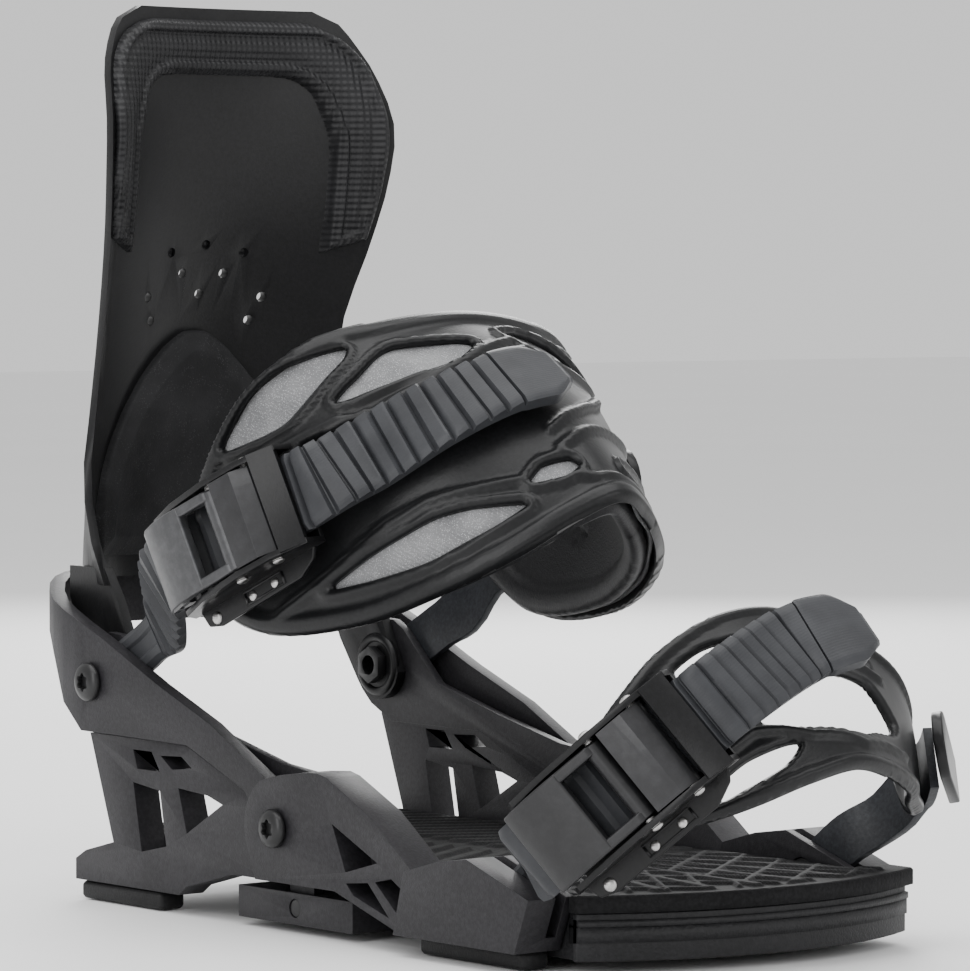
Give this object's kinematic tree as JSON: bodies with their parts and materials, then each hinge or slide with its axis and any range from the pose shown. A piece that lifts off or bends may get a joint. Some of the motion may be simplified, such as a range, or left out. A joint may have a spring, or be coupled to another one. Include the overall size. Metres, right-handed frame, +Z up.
{
  "type": "strap-in snowboard binding",
  "caption": "Black strap-in snowboard binding with a tall highback, heelcup, padded ankle strap, open toe strap, ratchet buckles and a round mounting disc.",
  "frame": {"origin": "centre of the mounting disc's underside, on the board's surface", "axes": "+Z up from the board, +Y towards the heel and the highback, +X towards the strap side without buckles"},
  "size_m": [0.1477, 0.3197, 0.258],
  "materials": {
    "charcoal_nylon": "matte glass-filled nylon",
    "black_nylon": "satin moulded nylon",
    "grey_nylon": "satin",
    "ladder_nylon": "satin",
    "black_steel": "black oxide",
    "steel": "bright",
    "grey_metal": "satin",
    "dark_metal": "satin",
    "bushing_rubber": "matte",
    "ramp_rubber": "matte",
    "tread_rubber": "matte, ribbed",
    "footbed_foam": "speckled foam",
    "cushion_rubber": "matte, fine texture",
    "strap_rubber": "satin",
    "strap_foam": "matte foam"
  },
  "bodies": {
    "chassis": {"mounting_disc": "black_nylon", "chassis": "charcoal_nylon", "kingpin_left": "steel", "kingpin_right": "steel", "disc_screw_1": "black_steel", "disc_screw_2": "black_steel", "disc_screw_3": "black_steel", "disc_screw_4": "black_steel", "bushing_heel_left": "bushing_rubber", "bushing_heel_right": "bushing_rubber", "bushing_toe_left": "bushing_rubber", "bushing_toe_right": "bushing_rubber"},
    "base": {"base_floor": "charcoal_nylon", "footbed": "footbed_foam", "side_rail_left": "charcoal_nylon", "side_rail_right": "charcoal_nylon", "heelcup": "charcoal_nylon", "ankle_bolt_left": "black_steel", "ankle_bolt_right": "black_steel", "ankle_nut_left": "black_steel", "ankle_nut_right": "black_steel", "hub_screw_left": "black_steel", "hub_screw_right": "black_steel", "hub_nut_left": "black_steel", "hub_nut_right": "black_steel", "toe_bolt_left": "black_steel", "toe_bolt_right": "black_steel"},
    "toe_ramp": {"toe_ramp": "ramp_rubber", "toe_tread": "tread_rubber"},
    "highback": {"highback": "black_nylon", "highback_cushion": "cushion_rubber", "heel_pad": "cushion_rubber"},
    "lean_block": {"lean_block": "black_nylon", "lean_pin": "steel"},
    "lean_lever": {"lean_lever": "grey_nylon"},
    "ankle_strap": {"ankle_web": "strap_rubber", "ankle_liner": "strap_foam", "ankle_ladder": "ladder_nylon", "ankle_buckle": "black_nylon", "ankle_lever_pin": "steel", "ankle_release_pin": "steel", "ankle_connector": "ladder_nylon"},
    "ankle_lever": {"ankle_lever": "grey_metal"},
    "ankle_release": {"ankle_release": "dark_metal"},
    "ankle_adjuster": {"ankle_adjuster": "black_nylon"},
    "toe_strap": {"toe_web": "strap_rubber", "toe_ladder": "ladder_nylon", "toe_buckle": "black_nylon", "toe_lever_pin": "steel", "toe_release_pin": "steel", "toe_connector": "ladder_nylon"},
    "toe_lever": {"toe_lever": "grey_metal"},
    "toe_release": {"toe_release": "dark_metal"},
    "toe_adjuster": {"toe_adjuster": "black_nylon"}
  },
  "joints": [
    {"name": "base_rock", "type": "hinge", "parent": "chassis", "child": "base", "pos_m": [0, -0.006, 0.0066], "axis": [1, 0, 0], "range_deg": [-1, 1], "stiffness_Nm_per_rad": 15, "deforming": ["bushing_heel_left", "bushing_heel_right", "bushing_toe_left", "bushing_toe_right"]},
    {"name": "toe_ramp_slide", "type": "slide", "parent": "base", "child": "toe_ramp", "axis": [0, -1, 0], "range_m": [0, 0.01]},
    {"name": "highback_fold", "type": "hinge", "parent": "base", "child": "highback", "pos_m": [0, 0.088, 0.063], "axis": [1, 0, 0], "range_deg": [0, 25]},
    {"name": "lean_slide", "type": "slide", "parent": "highback", "child": "lean_block", "axis": [0, -0.126, 0.992], "range_m": [0, 0.025]},
    {"name": "lean_lever_turn", "type": "hinge", "parent": "lean_block", "child": "lean_lever", "pos_m": [0, 0.14163, 0.119], "axis": [1, 0, 0], "range_deg": [0, 90]},
    {"name": "ankle_strap_swing", "type": "hinge", "parent": "base", "child": "ankle_strap", "pos_m": [0, 0.088, 0.063], "axis": [1, 0, 0], "range_deg": [-15, 10]},
    {"name": "ankle_lever_turn", "type": "hinge", "parent": "ankle_strap", "child": "ankle_lever", "pos_m": [-0.07072, 0.00584, 0.11016], "axis": [-0.1053, 0.4087, 0.9066], "range_deg": [0, 75], "stiffness_Nm_per_rad": 0.05},
    {"name": "ankle_release_turn", "type": "hinge", "parent": "ankle_strap", "child": "ankle_release", "pos_m": [-0.06774, -0.00658, 0.1161], "axis": [-0.1053, 0.4087, 0.9066], "range_deg": [0, 20], "stiffness_Nm_per_rad": 0.05},
    {"name": "ankle_adjuster_turn", "type": "hinge", "parent": "ankle_strap", "child": "ankle_adjuster", "pos_m": [0.05512, -0.0126, 0.12047], "axis": [-0.0965, -0.4942, -0.864], "range_deg": [0, 30]},
    {"name": "toe_strap_swing", "type": "hinge", "parent": "base", "child": "toe_strap", "pos_m": [0, -0.097, 0.0165], "axis": [1, 0, 0], "range_deg": [-25, 5]},
    {"name": "toe_lever_turn", "type": "hinge", "parent": "toe_strap", "child": "toe_lever", "pos_m": [-0.06151, -0.15005, 0.05325], "axis": [-0.3765, 0.5291, 0.7605], "range_deg": [0, 75], "stiffness_Nm_per_rad": 0.05},
    {"name": "toe_release_turn", "type": "hinge", "parent": "toe_strap", "child": "toe_release", "pos_m": [-0.0549, -0.15848, 0.06239], "axis": [-0.3765, 0.5291, 0.7605], "range_deg": [0, 20], "stiffness_Nm_per_rad": 0.05},
    {"name": "toe_adjuster_turn", "type": "hinge", "parent": "toe_strap", "child": "toe_adjuster", "pos_m": [0.05247, -0.14571, 0.05463], "axis": [-0.3169, -0.4793, -0.8185], "range_deg": [0, 30]}
  ]
}
